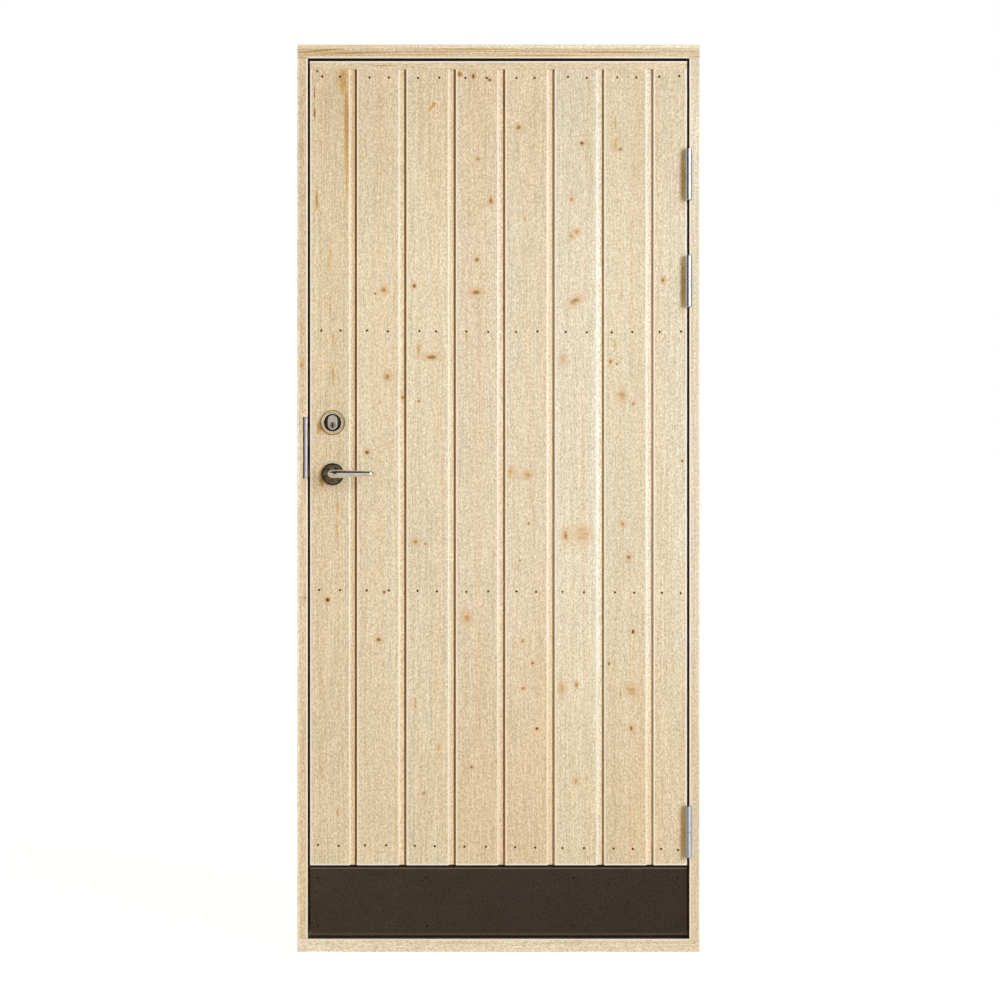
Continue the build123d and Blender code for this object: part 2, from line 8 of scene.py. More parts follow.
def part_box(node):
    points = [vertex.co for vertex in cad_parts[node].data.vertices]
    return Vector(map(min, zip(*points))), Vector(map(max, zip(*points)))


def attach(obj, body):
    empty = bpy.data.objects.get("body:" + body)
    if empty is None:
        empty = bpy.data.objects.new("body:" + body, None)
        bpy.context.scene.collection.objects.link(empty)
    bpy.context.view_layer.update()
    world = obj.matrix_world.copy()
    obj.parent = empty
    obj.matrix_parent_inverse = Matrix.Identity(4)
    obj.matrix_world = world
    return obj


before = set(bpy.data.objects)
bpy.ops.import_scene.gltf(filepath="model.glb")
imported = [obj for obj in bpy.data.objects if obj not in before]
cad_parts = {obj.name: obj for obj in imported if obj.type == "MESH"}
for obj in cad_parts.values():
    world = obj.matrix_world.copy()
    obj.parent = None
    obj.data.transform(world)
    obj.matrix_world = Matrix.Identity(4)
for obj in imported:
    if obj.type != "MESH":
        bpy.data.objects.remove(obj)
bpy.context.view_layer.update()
scene = bpy.context.scene
scene.view_settings.view_transform = "Standard"

# The model is in metres, and the places and sizes below are in millimetres
MM = 0.001
BOARD_Y, PLATE_Y = -45, -40
LEAF_EDGE_X, JAMB_EDGE_X = 413.4, 418.5
SECOND_BOARD_X, BOARD_PITCH, BOARD_FOOT_Z = -310.5, 108.4, 190.3
LOCK_X, CYLINDER_Z, PLUG_Z, HANDLE_Z = -363.4, 1161.3, 1155.2, 1048
HINGES = ("low", "mid", "top")

# Each board's knots as (x, z, half width, half height, darkness, tilt if any), in millimetres and degrees
KNOTS = {
    1: [(-374.7, 772.1, 5.9, 5.9, 0.9)],
    2: [(-251.6, 1451.5, 7, 8.1, 0.43), (-268.5, 1443.9, 2.6, 2.6, 0.98), (-243.7, 1261.7, 8.1, 8.1, 0.41),
        (-288.3, 1095.8, 5.9, 5.9, 0.66), (-263, 685.2, 5.9, 5.9, 0.61), (-250.9, 789.4, 3.7, 4.8, 0.72),
        (-210.7, 1216.6, 3.7, 5.9, 0.49)],
    3: [(-142.3, 1861, 2.4, 2.4, 0.36), (-184.7, 1460.9, 4.8, 5.9, 0.72), (-147.1, 1305.1, 13.6, 5.9, 0.54),
        (-174.8, 1208.1, 2.6, 2.6, 0.87), (-182.5, 899.2, 7, 7, 0.39), (-162.3, 895.5, 2.6, 3.7, 0.6),
        (-163.6, 348.1, 3.7, 3.7, 0.52)],
    4: [(-55.2, 1920.2, 3.7, 5.9, 0.74), (-19.8, 1912.5, 3.7, 3.7, 0.98), (-44.7, 1738.7, 4.8, 3.7, 0.41),
        (-17.2, 1647.2, 4.8, 9.2, 0.5), (-47.1, 1518.1, 4.8, 5.9, 0.6), (-48.8, 1446.5, 11.4, 7, 0.52),
        (-69.5, 732.4, 8.1, 10.3, 0.35), (-59.4, 405.4, 3.7, 3.7, 0.58)],
    5: [(43.7, 1808.3, 5.9, 5.9, 0.49), (63.7, 1046.8, 9.2, 7, 0.34), (27.9, 1050.1, 7, 10.3, 0.21),
        (47, 858.3, 1.5, 2.6, 0.98), (52.3, 681.4, 3.7, 4.8, 0.46), (74.3, 633.3, 3.7, 4.8, 0.54),
        (54.1, 578.3, 3.7, 3.7, 0.5), (84, 489.9, 3.7, 3.7, 0.95)],
    6: [(182.9, 1774, 4.8, 4.8, 0.76), (159.8, 1650.7, 4.8, 5.9, 0.33), (171.9, 1579.6, 5.9, 5.9, 0.36),
        (161.2, 1570.4, 4.8, 7, 0.34), (168.2, 1428.8, 14.7, 7, 0.4, 28), (142.2, 1299.6, 5.9, 10.3, 0.21),
        (184.2, 915.9, 12.5, 15.8, 0.19), (150.8, 913.3, 7, 12.5, 0.4), (139.6, 577.9, 7, 11.4, 0.28),
        (169.3, 585.8, 4.8, 7, 0.45), (169.7, 375.4, 4.8, 7, 0.32)],
    7: [(256.2, 1773.3, 4.8, 11.4, 0.26), (265.6, 1760.6, 4.8, 3.7, 0.59), (246, 1295, 3.7, 5.9, 0.52),
        (258.6, 1289.8, 2.6, 2.6, 0.89), (270.9, 1219.9, 8.1, 11.4, 0.26), (293.5, 1202.6, 3.7, 3.7, 0.47),
        (272.2, 938.9, 4.8, 5.9, 0.4), (285.2, 866, 5.9, 7, 0.5), (295.3, 702.5, 3.7, 5.9, 0.93),
        (242.5, 632.6, 2.6, 4.8, 0.71), (291.8, 573.3, 10.3, 10.3, 0.3), (291.3, 490.1, 3.7, 7, 0.59)],
    8: [(360.6, 1472.8, 4.8, 5.9, 0.49), (402.8, 1076.6, 2.6, 2.6, 0.97)],
}

# Resin streaks and stains, in the same form. Board 1's last two stand for the brown shadows that
# the photograph shows beside the ring and the rosette.
STREAKS = {
    1: [(-370.3, 1525.7, 7, 53.2, 0.2), (-369, 1420, 2.6, 30.1, 0.32), (-363.3, 1343.4, 2.6, 19.1, 0.32),
        (-363.3, 1266.8, 3.7, 25.7, 0.38), (-352.7, 973.4, 3.7, 18, 0.27), (-354.7, 918.7, 3.7, 32.3, 0.23),
        (-398.5, 1647.7, 3.7, 26.8, 0.51), (-403.5, 1884.1, 1.5, 19.1, 0.6),
        (-403.3, 1840.3, 2.6, 14.7, 0.67), (-341, 1912, 14, 34, 0.36), (-333.5, 1815, 6.5, 120, 0.4),
        (-332, 1715, 4.5, 70, 0.3), (-397.6, 1931.8, 3, 3, 0.95), (-391.7, 402.1, 1.5, 18, 0.45),
        (-353, 303.6, 2.6, 10.3, 0.43), (-352.3, 1204.2, 8.1, 5.9, 0.17), (-350.6, 208, 2.4, 26, 0.18),
        (-393, 1150, 6.5, 17, 0.42), (-388, 1036, 6, 22, 0.45)],
    3: [(-146.1, 1853.5, 4.5, 14, 0.42, -42), (-175.5, 1322.4, 4.8, 15.8, 0.34),
        (-182.3, 544.4, 1.5, 15.8, 0.41), (-131.3, 447.7, 3.7, 11.4, 0.32)],
    4: [(-70.6, 1350, 2.2, 11, 0.45), (-85.6, 1925, 7, 7.5, 0.59, 30)],
    5: [(57.8, 1608.7, 2.6, 7, 0.46), (65.9, 939.3, 2.6, 4.8, 0.59)],
    7: [(255.9, 1816.2, 2.6, 19.1, 0.34), (255.1, 1330.5, 3.7, 14.7, 0.29), (266.7, 565.9, 1.5, 14.7, 0.61)],
    8: [(401.1, 1408.2, 5.9, 8.1, 0.15)],
}

# Nail heads as (x, z), two to a board, in four rows from the top down
NAILS = (
    ((-386.6, 1920), (-347.6, 1920), (-282.6, 1918), (-240.6, 1918), (-176.6, 1917), (-129.6, 1918),
     (-72.6, 1917), (-25.6, 1917), (39.4, 1917), (79.4, 1917), (152.4, 1919), (193.4, 1917),
     (260.4, 1918), (302.4, 1918), (352.4, 1920), (396.4, 1921)),
    ((-388.6, 1363), (-346.6, 1363), (-288.6, 1363), (-242.6, 1361), (-173.6, 1362), (-136.6, 1361),
     (-70.6, 1361), (-22.6, 1360), (38.4, 1360), (85.4, 1361), (147.4, 1360), (193.4, 1359),
     (248.4, 1359), (293.4, 1360), (353.4, 1360), (400.4, 1361)),
    ((-393.6, 793.9), (-347.6, 793.9), (-288.6, 792.9), (-240.6, 792.9), (-177.6, 791.9),
     (-134.6, 790.9), (-70.6, 789.9), (-22.6, 790.9), (39.4, 790.9), (82.4, 789.9), (140.4, 789.9),
     (187.4, 788.9), (255.4, 788.9), (297.4, 787.9), (358.4, 787.9), (399.4, 786.9)),
    ((-395.6, 235), (-350.6, 233), (-292.6, 234), (-246.6, 234), (-183.6, 233), (-139.6, 232),
     (-74.6, 231), (-27.6, 231), (36.4, 230), (80.4, 229), (140.4, 228), (187.4, 228), (252.4, 227),
     (294.4, 226), (356.4, 226), (393.4, 224)),
)
PLATE_NAILS = [(x, z) for z in (161.3, 56.3) for x in (-396, -157.5, 164.5, 393)]
# The stain round each board nail, as a streak's half width, half height and darkness
NAIL_STAIN = (3.2, 4.2, 0.22)


# Node helpers
def linear(red, green, blue):
    """A colour written in 8-bit steps, as the shader wants it."""
    parts = [v / 255 for v in (red, green, blue)]
    return tuple(v / 12.92 if v <= 0.04045 else ((v + 0.055) / 1.055) ** 2.4 for v in parts) + (1.0,)


def add(tree, kind, inputs=None, **settings):
    """A new node whose inputs, by name or number, take a number or another node's output."""
    made = tree.nodes.new(kind)
    for name, value in settings.items():
        setattr(made, name, value)
    for key, value in (inputs or {}).items():
        if isinstance(value, bpy.types.NodeSocket):
            tree.links.new(value, made.inputs[key])
        else:
            made.inputs[key].default_value = value
    return made


def maths(tree, operation, *values):
    return add(tree, "ShaderNodeMath", dict(enumerate(values)), operation=operation).outputs[0]


def vectors(tree, operation, *values):
    made = add(tree, "ShaderNodeVectorMath", dict(enumerate(values)), operation=operation)
    return made.outputs["Value" if operation == "LENGTH" else "Vector"]


def product(tree, first, *others):
    for other in others:
        first = maths(tree, "MULTIPLY", first, other)
    return first


def axes(tree, vector):
    """The outputs that hold a vector's x, y and z."""
    return add(tree, "ShaderNodeSeparateXYZ", {0: vector}).outputs


def noise(tree, vector, stretch, detail=2.0, roughness=0.5, colour=False):
    """Noise that is drawn out along the axes where stretch is small."""
    drawn_out = vectors(tree, "MULTIPLY", vector, stretch)
    made = add(tree, "ShaderNodeTexNoise", {"Vector": drawn_out, "Scale": 1.0, "Detail": detail,
                                            "Roughness": roughness})
    return made.outputs[1 if colour else 0]


def remap(tree, value, low, high, new_low, new_high, smooth=True):
    """The value's place between low and high, carried over to the new range."""
    kind = "SMOOTHSTEP" if smooth else "LINEAR"
    return add(tree, "ShaderNodeMapRange", {0: value, 1: low, 2: high, 3: new_low, 4: new_high},
               interpolation_type=kind).outputs[0]


def ramp(tree, factor, stops):
    """A colour ramp with the stops given as (place, colour)."""
    made = add(tree, "ShaderNodeValToRGB", {0: factor})
    band = made.color_ramp
    band.elements[0].position, band.elements[0].color = stops[0]
    band.elements[1].position, band.elements[1].color = stops[-1]
    for place, colour in stops[1:-1]:
        band.elements.new(place).color = colour
    return made.outputs[0]


def mix(tree, factor, first, second, kind="MIX"):
    made = add(tree, "ShaderNodeMix", {0: factor, 6: first, 7: second}, data_type="RGBA", blend_type=kind)
    return made.outputs[2]


def tinted(tree, colour, tint):
    return mix(tree, 1.0, colour, tint, "MULTIPLY")


def scaled(tree, colour, light):
    """A colour times one number."""
    same = add(tree, "ShaderNodeCombineXYZ", {0: light, 1: light, 2: light}).outputs[0]
    return vectors(tree, "MULTIPLY", colour, same)


def new_group(name, inputs, outputs):
    """An empty node group with its input and output nodes."""
    tree = bpy.data.node_groups.new(name, "ShaderNodeTree")
    for direction, sockets in (("INPUT", inputs), ("OUTPUT", outputs)):
        for title, kind in sockets.items():
            tree.interface.new_socket(title, in_out=direction, socket_type="NodeSocket" + kind)
    return tree, tree.nodes.new("NodeGroupInput").outputs, tree.nodes.new("NodeGroupOutput").inputs


def use_group(tree, group, inputs):
    return add(tree, "ShaderNodeGroup", inputs, node_tree=group).outputs


def new_material(name):
    made = bpy.data.materials.new(name)
    made.use_nodes = True
    made.node_tree.nodes.clear()
    return made, made.node_tree


def surface(tree, shader):
    add(tree, "ShaderNodeOutputMaterial", {"Surface": shader})


# Wood
EARLY_WOOD, LATE_WOOD, AMBER_WOOD = linear(244, 232, 208), linear(212, 178, 130), linear(220, 184, 135)
# The second colour on the next line is the pale wood of painted highlights on bevels and arrises
KNOT_HALO, HIGHLIGHT_WOOD = linear(223, 182, 130), linear(250, 243, 228)
PALE_BAND, WARM_BAND = (1.0, 1.012, 1.015, 1.0), (1.012, 0.975, 0.935, 1.0)
DARK_FLECK, PALE_FLECK = (0.71, 0.63, 0.5, 1.0), (1.24, 1.31, 1.42, 1.0)


def mark_distance(tree, given):
    """Offset from a mark's centre, and its length in half sizes of the mark."""
    offset = vectors(tree, "SUBTRACT", given["Vector"], given["Centre"])
    turned = add(tree, "ShaderNodeVectorRotate",
                 {"Vector": offset, "Axis": (0, 1, 0), "Angle": given["Tilt"]})
    return offset, vectors(tree, "LENGTH", vectors(tree, "MULTIPLY", turned.outputs[0], given["Size"]))


def make_knot_group():
    """One knot: it bends the grain round itself, darkens, and keeps the distance for the knots' halo."""
    sockets = {"Vector": "Vector", "Dark": "Float", "Near": "Float", "Centre": "Vector", "Size": "Vector",
               "Tilt": "Float", "Strength": "Float"}
    tree, given, result = new_group("knot", sockets, {"Vector": "Vector", "Dark": "Float", "Near": "Float"})
    offset, away = mark_distance(tree, given)
    mask = remap(tree, away, 0.45, 1.12, 1.0, 0.0)
    mottle = remap(tree, noise(tree, given["Vector"], (600, 600, 420), 1.0), 0.3, 0.7, 0.72, 1.12)
    core = product(tree, remap(tree, away, 0.0, 0.6, 1.3, 0.92), given["Strength"])
    shade = product(tree, mask, mottle, core)
    pull = maths(tree, "DIVIDE", -0.85, maths(tree, "MAXIMUM", product(tree, away, away), 1.0))
    bend = add(tree, "ShaderNodeCombineXYZ", {0: product(tree, axes(tree, offset)[0], pull)})
    tree.links.new(vectors(tree, "ADD", given["Vector"], bend.outputs[0]), result["Vector"])
    tree.links.new(maths(tree, "MAXIMUM", given["Dark"], shade), result["Dark"])
    tree.links.new(maths(tree, "MINIMUM", given["Near"], away), result["Near"])
    return tree


def make_streak_group():
    """One soft-edged resin streak or stain."""
    sockets = {"Vector": "Vector", "Dark": "Float", "Centre": "Vector", "Size": "Vector", "Tilt": "Float",
               "Strength": "Float"}
    tree, given, result = new_group("streak", sockets, {"Dark": "Float"})
    away = mark_distance(tree, given)[1]
    shade = product(tree, remap(tree, away, 0.3, 1.35, 1.0, 0.0), given["Strength"])
    tree.links.new(maths(tree, "MAXIMUM", given["Dark"], shade), result["Dark"])
    return tree


def ring_noise(tree, radius, scale):
    """A value that changes only with the distance from the pith."""
    return add(tree, "ShaderNodeTexNoise", {"W": radius, "Scale": scale, "Detail": 1.0},
               noise_dimensions="1D").outputs[0]


def late_wood(tree, given, place):
    """How far the wood at a place is late wood: the dark line at the end of each growth ring."""
    wander = vectors(tree, "SUBTRACT", noise(tree, place, (0.4, 0.4, 1.2), 1.0, colour=True), (0.5, 0.5, 0.5))
    centred = vectors(tree, "SUBTRACT", given["Vector"], given["Pith"])
    shifted = vectors(tree, "ADD", centred, vectors(tree, "MULTIPLY", wander, (0.022, 0.03, 0)))
    radius = vectors(tree, "LENGTH", vectors(tree, "MULTIPLY", shifted, (1, 1, 0)))
    waves = noise(tree, place, (30, 30, 3.5), 2.0)
    radius = maths(tree, "MULTIPLY_ADD", maths(tree, "SUBTRACT", waves, 0.5), 0.0014, radius)
    turns = maths(tree, "ADD", maths(tree, "DIVIDE", radius, given["Spacing"]),
                  product(tree, ring_noise(tree, radius, 90.0), 2.2))
    phase = maths(tree, "FRACT", turns)
    line = product(tree, remap(tree, phase, 0.2, 0.85, 0.0, 1.0), remap(tree, phase, 0.88, 1.0, 1.0, 0.0))
    return product(tree, line, remap(tree, ring_noise(tree, radius, 240.0), 0.3, 0.7, 0.15, 1.0))


def make_grain_group():
    """Growth rings about a wandering pith, with fibre, flecks, tints and blotches; the grain runs along Z."""
    sockets = {"Vector": "Vector", "Pith": "Vector", "Seed": "Vector", "Spacing": "Float",
               "Contrast": "Float"}
    tree, given, result = new_group("grain", sockets, {"Color": "Color", "Height": "Float", "Rough": "Float"})
    place = vectors(tree, "ADD", given["Vector"], given["Seed"])
    late = late_wood(tree, given, place)
    fibre = noise(tree, place, (560, 560, 14), 3.0, 0.6)
    fleck = noise(tree, place, (350, 350, 190), 2.0, 0.65)
    strand = noise(tree, place, (170, 170, 2.2), 2.0)
    band = noise(tree, place, (52, 52, 0.7), 2.0)
    blotch = noise(tree, place, (9, 9, 2.2), 2.0)
    colour = mix(tree, product(tree, late, given["Contrast"]), EARLY_WOOD, LATE_WOOD)
    colour = mix(tree, remap(tree, strand, 0.45, 0.78, 0.0, 0.26), colour, AMBER_WOOD)
    colour = tinted(tree, colour, mix(tree, remap(tree, band, 0.36, 0.64, 0.0, 1.0), PALE_BAND, WARM_BAND))
    speck = mix(tree, remap(tree, fleck, 0.25, 0.75, 0.0, 1.0, False), DARK_FLECK, PALE_FLECK)
    colour = tinted(tree, colour, speck)
    light = maths(tree, "ADD", remap(tree, fibre, 0.25, 0.75, -0.17, 0.17, False),
                  remap(tree, blotch, 0.25, 0.75, 0.965, 1.035, False))
    height = maths(tree, "MULTIPLY_ADD", late, 0.6, maths(tree, "ADD", fibre, fleck))
    tree.links.new(scaled(tree, colour, light), result["Color"])
    tree.links.new(height, result["Height"])
    tree.links.new(remap(tree, fibre, 0.3, 0.7, 0.58, 0.74), result["Rough"])
    return tree


KNOT = make_knot_group()
STREAK = make_streak_group()
GRAIN = make_grain_group()

# Moves each piece to a place of its own in the noise
SEED_STEP = (1.37, 0.61, 2.3)
# How far, in metres, the edges of marks stray along x and z
RAGGED = (0.0009, 0, 0.002)
# Depths behind the boards' face, in metres, at which the painted highlight on the bevels and the painted
# light and shade of ledges and grooves come and go
EDGE_STARTS, EDGE_ENDS = (0.0001, 0.0004), (0.0015, 0.0024)
LEDGE_STARTS, GROOVE_STARTS, SHADE_ENDS = (0.0015, 0.0035), (0.0045, 0.0085), (0.012, 0.015)
# How far in from an arris, and how deep behind the face, the strip of painted highlight is pale, and where it
# ends
ARRIS_WIDTH, ARRIS_DEPTH = (2.6, 4.6), (0.6, 1.8)
# Where the painted shade on the frame's hidden faces thins out towards the room
SHADE_END_Y = (-22, -6)

# What a mark's darkness, from 0 to 1, takes out of the wood's colour
STAIN = [(0.0, (1, 1, 1, 1)), (0.1, (0.975, 0.945, 0.89, 1)), (0.25, (0.89, 0.77, 0.58, 1)),
         (0.5, (0.56, 0.41, 0.25, 1)), (0.75, (0.30, 0.185, 0.085, 1)), (1.0, (0.115, 0.065, 0.02, 1))]

# The same for a resin streak or stain, which stays more orange
RESIN = [(0.0, (1, 1, 1, 1)), (0.1, (0.985, 0.945, 0.86, 1)), (0.25, (0.93, 0.79, 0.55, 1)),
         (0.5, (0.68, 0.46, 0.24, 1)), (0.75, (0.36, 0.2, 0.09, 1)), (1.0, (0.13, 0.07, 0.025, 1))]


def mark_inputs(mark):
    """The inputs of the knot and streak groups, from a mark's row in the tables."""
    x, z, half_x, half_z, strength = mark[:5]
    tilt = mark[5] if len(mark) > 5 else 0
    return {"Centre": (x * MM, 0, z * MM), "Size": (1 / (half_x * MM), 0, 1 / (half_z * MM)),
            "Tilt": math.radians(tilt), "Strength": strength}


def between(tree, value, start, end, fade=0.0003):
    """1 where a coordinate lies between two places in millimetres, else 0; fade, in metres, softens it."""
    start, end = start * MM, end * MM
    return product(tree, remap(tree, value, start - fade, start + fade, 0.0, 1.0),
                   remap(tree, value, end - fade, end + fade, 1.0, 0.0))


def toned(tree, colour, amount, tone):
    """A colour times a tone where amount is 1, and unchanged where it is 0."""
    return tinted(tree, colour, mix(tree, amount, (1, 1, 1, 1), tone + (1,)))


def groove_shading(tree, place, colour, ledge, groove):
    """A painted highlight on the bevels' upper edges, painted light and shade on the ledges, and painted
    shade in the grooves between the boards, by the depth behind their face.
    """
    depth = maths(tree, "SUBTRACT", axes(tree, place)[1], BOARD_Y * MM)
    edge = product(tree, remap(tree, depth, *EDGE_STARTS, 0.0, 0.75),
                   remap(tree, depth, *EDGE_ENDS, 1.0, 0.0))
    # painted highlight along the upper edge of each bevel
    colour = mix(tree, edge, colour, HIGHLIGHT_WOOD)
    # painted light and shade on the ledges, painted shade in the grooves
    for starts, tone in ((LEDGE_STARTS, ledge), (GROOVE_STARTS, groove)):
        inside = product(tree, remap(tree, depth, *starts, 0.0, 1.0),
                         remap(tree, depth, *SHADE_ENDS, 1.0, 0.0))
        colour = toned(tree, colour, inside, tone)
    return colour


def painted_light_marks(tree, place, colour, look):
    """Painted light and shade: lighter and darker spans, painted highlights on the arrises, and painted shade
    on places that the closed leaf hides.

    Lighter and darker spans: (axis, from, to, tone); arrises: (axis, edge, step into the piece, reach along
    x);
    hidden: (axis, from, to, tone), behind the face only. All in millimetres.
    """
    parts = axes(tree, place)
    # painted light and shade over spans of the piece
    for axis, start, end, tone in look.get("light_and_shade_spans", ()):
        colour = toned(tree, colour, remap(tree, parts[axis], start * MM, end * MM, 0.0, 1.0), tone)
    # painted highlights along the arrises
    for axis, edge, step, reach in look.get("arrises", ()):
        width = [(edge + inset * step) * MM for inset in ARRIS_WIDTH]
        depth = [(BOARD_Y + behind) * MM for behind in ARRIS_DEPTH]
        strip = product(tree, remap(tree, parts[axis], *width, 0.9, 0.0),
                        remap(tree, parts[1], *depth, 1.0, 0.0))
        if reach:
            strip = product(tree, strip, between(tree, parts[0], -reach, reach))
        colour = mix(tree, strip, colour, HIGHLIGHT_WOOD)
    # painted shade on faces that the closed leaf hides
    for axis, start, end, tone in look.get("hidden", ()):
        inside = product(tree, remap(tree, parts[1], (BOARD_Y - 0.5) * MM, (BOARD_Y + 0.5) * MM, 0.0, 1.0),
                         remap(tree, parts[1], SHADE_END_Y[0] * MM, SHADE_END_Y[1] * MM, 1.0, 0.0),
                         between(tree, parts[axis], start, end))
        if axis == 2:
            inside = product(tree, inside, between(tree, parts[0], -JAMB_EDGE_X - 0.1, JAMB_EDGE_X + 0.1))
        colour = toned(tree, colour, inside, tone)
    return colour


def wood(name, pith, seed, tone=(1, 1, 1), spacing=2.8, contrast=0.3, along="Z", knots=(), streaks=(),
         look=None):
    """Planed softwood with its marks, and painted light and shade.

    pith is where the tree's middle lies across the grain, and spacing the width of a growth ring,
    in millimetres; look holds the lists that painted_light_marks and groove_shading read.
    """
    material, tree = new_material(name)
    site = place = add(tree, "ShaderNodeTexCoord").outputs["Object"]
    if along == "X":
        x, y, z = axes(tree, place)
        place = add(tree, "ShaderNodeCombineXYZ", {0: z, 1: y, 2: x}).outputs[0]
    ragged = vectors(tree, "SUBTRACT", noise(tree, place, (160, 160, 60), 1.0, colour=True), (0.5, 0.5, 0.5))
    place = vectors(tree, "ADD", place, vectors(tree, "MULTIPLY", ragged, RAGGED))
    stained, dark, near, bent = 0.0, 0.0, 9.0, place
    for mark in streaks:
        stained = use_group(tree, STREAK, {"Vector": place, "Dark": stained, **mark_inputs(mark)})["Dark"]
    for mark in knots:
        bent, dark, near = use_group(tree, KNOT, {"Vector": bent, "Dark": dark, "Near": near,
                                                  **mark_inputs(mark)})
    grain = use_group(tree, GRAIN, {
        "Vector": bent, "Pith": (pith[0] * MM, pith[1] * MM, 0),
        "Seed": tuple(seed * step for step in SEED_STEP), "Spacing": spacing * MM, "Contrast": contrast})
    colour = tinted(tree, grain["Color"], (*tone, 1.0))
    if knots:
        colour = mix(tree, remap(tree, near, 2.6, 0.9, 0.0, 0.42), colour, KNOT_HALO)
    if streaks:
        colour = tinted(tree, colour, ramp(tree, stained, RESIN))
    if knots:
        colour = tinted(tree, colour, ramp(tree, dark, STAIN))
    if look:
        if "grooves" in look:
            colour = groove_shading(tree, site, colour, *look["grooves"])
        colour = painted_light_marks(tree, site, colour, look)
        if "cut" in look:
            colour = look["cut"](tree, site, colour)
    bump = add(tree, "ShaderNodeBump", {"Strength": 0.35, "Distance": 0.0004, "Height": grain["Height"]})
    surface(tree, add(tree, "ShaderNodeBsdfPrincipled", {
        "Base Color": colour, "Roughness": grain["Rough"], "Specular IOR Level": 0.3,
        "Normal": bump.outputs[0]}).outputs[0])
    return material


# Metals, coating and rubber
def metal(name, colour, roughness, brush=(500, 500, 30), spread=0.1, spangle=0.0, grime=0.12, shape=None,
          dull_foot=0.0):
    """Metal with brush marks drawn out along one axis, uneven polish and a little grime.

    shape, if given, darkens parts of it by where they are; dull_foot roughens what is near the ground.
    """
    material, tree = new_material(name)
    place = add(tree, "ShaderNodeTexCoord").outputs["Object"]
    lines = noise(tree, place, brush, 2.0)
    cloud = noise(tree, place, (60, 60, 60), 3.0, 0.6)
    base = linear(*colour)
    dull = tuple(v * 0.62 for v in base[:3]) + (1.0,)
    shade = mix(tree, remap(tree, cloud, 0.48, 0.75, 0.0, grime * 3), base, dull)
    if spangle:
        cells = add(tree, "ShaderNodeTexVoronoi", {"Vector": place, "Scale": 190.0}).outputs["Color"]
        grey = add(tree, "ShaderNodeSeparateColor", {0: cells}).outputs[0]
        shade = mix(tree, remap(tree, grey, 0.0, 1.0, 0.0, spangle), shade, dull)
    if shape:
        shade = shape(tree, place, shade)
    polish = remap(tree, lines, 0.3, 0.7, roughness - spread / 2, roughness + spread / 2)
    rough = maths(tree, "ADD", polish, remap(tree, cloud, 0.45, 0.75, 0.0, grime))
    if dull_foot:
        rough = maths(tree, "ADD", rough, remap(tree, axes(tree, place)[2], 0.5, 0.35, 0.0, dull_foot))
    bump = add(tree, "ShaderNodeBump", {"Strength": 0.12, "Distance": 0.0001, "Height": lines})
    surface(tree, add(tree, "ShaderNodeBsdfPrincipled", {
        "Base Color": shade, "Metallic": 1.0, "Roughness": rough, "Normal": bump.outputs[0]}).outputs[0])
    return material


def from_axis(tree, place, centre_z):
    """Offsets and distance, in millimetres, from a cross axis of the lock."""
    offset = vectors(tree, "SUBTRACT", place, (LOCK_X * MM, 0, centre_z * MM))
    offset = vectors(tree, "MULTIPLY", offset, (1 / MM, 0, 1 / MM))
    parts = axes(tree, offset)
    return parts[0], parts[2], vectors(tree, "LENGTH", offset)


# Radii between which the parts of the lock change tone, partly painted light and shade, and the key slot's
# half sizes, in millimetres
RING_EDGE, RING_LIP, RING_BORE, RING_FLOOR = (25.2, 26.1), (18.4, 21.2), (18.9, 18.4), (15.6, 14.6)
ROSETTE_RIM, PLUG_WEAR, SEAM_STARTS, SEAM_ENDS = (21.8, 24.4), (7.6, 5.0), (6.3, 6.7), (7.1, 7.5)
SLOT_HALF_WIDTH, SLOT_HALF_HEIGHT = (1.9, 1.4), (5.2, 4.6)


def ring_shading(tree, place, shade):
    """Painted light and shade on the ring, by radius: painted shade on its outer edge, a painted highlight on
    its inner lip, and painted shade in the bore and on its floor.
    """
    away = from_axis(tree, place, CYLINDER_Z)[2]
    shade = mix(tree, remap(tree, away, *RING_EDGE, 0.0, 0.86), shade, linear(56, 46, 34))
    shade = mix(tree, between(tree, product(tree, away, MM), *RING_LIP), shade, linear(255, 255, 250))
    shade = mix(tree, remap(tree, away, *RING_BORE, 0.0, 1.0), shade, linear(26, 22, 17))
    return mix(tree, remap(tree, away, *RING_FLOOR, 0.0, 1.0), shade, linear(80, 68, 54))


def rosette_rim(tree, place, shade):
    """The rosette's rim darkened by radius, a painted shade, and the stains on its face."""
    away = product(tree, from_axis(tree, place, HANDLE_Z)[2], MM)
    stains = remap(tree, noise(tree, place, (110, 110, 110), 3.0, 0.6), 0.38, 0.66, 0.0, 1.0)
    shade = mix(tree, 0.7, shade, mix(tree, stains, linear(150, 135, 110), linear(60, 52, 40)))
    # painted shade on the rim
    return mix(tree, between(tree, away, *ROSETTE_RIM), shade, linear(30, 26, 20))


def key_way(tree, place, shade):
    """The plug's seam, its key slot darkened with painted shade, and brass wear round them."""
    across, along, away = from_axis(tree, place, PLUG_Z)
    shade = mix(tree, remap(tree, away, *PLUG_WEAR, 0.0, 0.75), shade, linear(150, 124, 92))
    seam = product(tree, remap(tree, away, *SEAM_STARTS, 0.0, 1.0), remap(tree, away, *SEAM_ENDS, 1.0, 0.0))
    shade = mix(tree, product(tree, seam, 0.7), shade, linear(40, 33, 26))
    # painted shade in the key slot
    slot = product(tree, remap(tree, maths(tree, "ABSOLUTE", across), *SLOT_HALF_WIDTH, 0.0, 1.0),
                   remap(tree, maths(tree, "ABSOLUTE", along), *SLOT_HALF_HEIGHT, 0.0, 1.0))
    return mix(tree, slot, shade, linear(24, 16, 11))


# The heights between which the kick plate's two bends carry a painted highlight, and how strong it is
PLATE_BENDS = ((181.6, 184.4, 0.9), (36.8, 39.8, 0.6))


